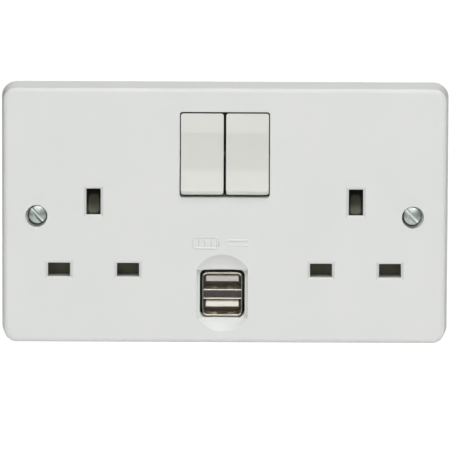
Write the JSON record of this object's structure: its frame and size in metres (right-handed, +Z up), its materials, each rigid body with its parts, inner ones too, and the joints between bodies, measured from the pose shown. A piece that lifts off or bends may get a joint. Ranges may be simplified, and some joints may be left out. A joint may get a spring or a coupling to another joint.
{
  "type": "switched double socket",
  "caption": "White wall socket plate with three-pin outlets, rocker switches, shutters and a stacked charging port in a scooped recess, on a rear base with terminals.",
  "frame": {"origin": "centre of the plate's back rim, in the plane of the wall", "axes": "+X to the viewer's right, +Z up, the face looks along -Y and the screws run along +Y"},
  "size_m": [0.144, 0.0356, 0.0846],
  "materials": {
    "plate_plastic": "satin white moulding",
    "rocker_plastic": "polished white moulding",
    "shutter_plastic": "olive-grey moulding",
    "base_plastic": "plain off-white moulding",
    "case_plastic": "black moulding with a fine grain",
    "plunger_plastic": "natural nylon",
    "zinc_steel": "dulled zinc plate",
    "spring_steel": "drawn wire",
    "black_steel": "blackened steel",
    "brass": "stamped brass",
    "silver_contact": "silver alloy rivet",
    "port_steel": "nickel-plated sheet",
    "port_black": "black moulding",
    "port_white": "cream moulding",
    "port_grey": "pale grey moulding",
    "gold_contact": "gold flash",
    "board_laminate": "green solder mask",
    "barrier_fibre": "black fibre card",
    "ferrite": "sintered ferrite",
    "winding_tape": "yellow film tape",
    "capacitor_sleeve": "shrunk sleeve",
    "live_lead_sleeve": "brown insulation",
    "neutral_lead_sleeve": "blue insulation"
  },
  "bodies": {
    "housing": {"barrier_card": "barrier_fibre", "base": "base_plastic", "base_screws": "zinc_steel", "charger_case": "case_plastic", "circuit_board": "board_laminate", "earth_strap": "brass", "earth_terminal": "brass", "faceplate": "plate_plastic", "feed_bar": "brass", "fixed_tip_left": "silver_contact", "fixed_tip_right": "silver_contact", "fixing_screws": "zinc_steel", "input_capacitor": "capacitor_sleeve", "live_lead": "live_lead_sleeve", "live_strip_left": "brass", "live_strip_right": "brass", "live_terminal": "brass", "neutral_bar": "brass", "neutral_lead": "neutral_lead_sleeve", "neutral_terminal": "brass", "output_capacitor": "capacitor_sleeve", "pivot_pin": "black_steel", "port_body": "port_black", "port_contacts_lower": "gold_contact", "port_contacts_upper": "gold_contact", "port_shell": "port_steel", "port_tongue_lower": "port_white", "port_tongue_upper": "port_grey", "shutter_spring_left": "spring_steel", "shutter_spring_right": "spring_steel", "terminal_screws": "zinc_steel", "transformer_core": "ferrite", "transformer_winding": "winding_tape"},
    "rocker_left": {"rocker_left": "rocker_plastic", "plunger_spring_left": "spring_steel"},
    "plunger_left": {"plunger_left": "plunger_plastic"},
    "contact_left": {"rocking_contact_left": "brass", "moving_tip_left": "silver_contact"},
    "shutter_left": {"shutter_left": "shutter_plastic"},
    "rocker_right": {"rocker_right": "rocker_plastic", "plunger_spring_right": "spring_steel"},
    "plunger_right": {"plunger_right": "plunger_plastic"},
    "contact_right": {"rocking_contact_right": "brass", "moving_tip_right": "silver_contact"},
    "shutter_right": {"shutter_right": "shutter_plastic"}
  },
  "joints": [
    {"name": "rocker_left_tilt", "type": "hinge", "parent": "housing", "child": "rocker_left", "pos_m": [-0.00728, -0.0074, 0.0199], "axis": [1, 0, 0], "range_deg": [0, 10]},
    {"name": "plunger_left_slide", "type": "slide", "parent": "rocker_left", "child": "plunger_left", "axis": [0, -0.9962, 0.0872], "range_m": [0, 0.0006], "stiffness_N_per_m": 400, "springref_m": -0.002, "deforming": ["plunger_spring_left"]},
    {"name": "contact_left_rock", "type": "hinge", "parent": "housing", "child": "contact_left", "pos_m": [-0.00728, 0.0048, 0.0199], "axis": [1, 0, 0], "range_deg": [-18, 0]},
    {"name": "shutter_left_slide", "type": "slide", "parent": "housing", "child": "shutter_left", "axis": [0, 0, -1], "range_m": [0, 0.007], "stiffness_N_per_m": 120, "springref_m": -0.004, "deforming": ["shutter_spring_left"]},
    {"name": "rocker_right_tilt", "type": "hinge", "parent": "housing", "child": "rocker_right", "pos_m": [0.00728, -0.0074, 0.0199], "axis": [1, 0, 0], "range_deg": [0, 10]},
    {"name": "plunger_right_slide", "type": "slide", "parent": "rocker_right", "child": "plunger_right", "axis": [0, -0.9962, 0.0872], "range_m": [0, 0.0006], "stiffness_N_per_m": 400, "springref_m": -0.002, "deforming": ["plunger_spring_right"]},
    {"name": "contact_right_rock", "type": "hinge", "parent": "housing", "child": "contact_right", "pos_m": [0.00728, 0.0048, 0.0199], "axis": [1, 0, 0], "range_deg": [-18, 0]},
    {"name": "shutter_right_slide", "type": "slide", "parent": "housing", "child": "shutter_right", "axis": [0, 0, -1], "range_m": [0, 0.007], "stiffness_N_per_m": 120, "springref_m": -0.004, "deforming": ["shutter_spring_right"]}
  ],
  "couplings": [
    {"joint": "contact_left_rock", "follows": "rocker_left_tilt", "ratio": -1.8},
    {"joint": "contact_right_rock", "follows": "rocker_right_tilt", "ratio": -1.8}
  ]
}
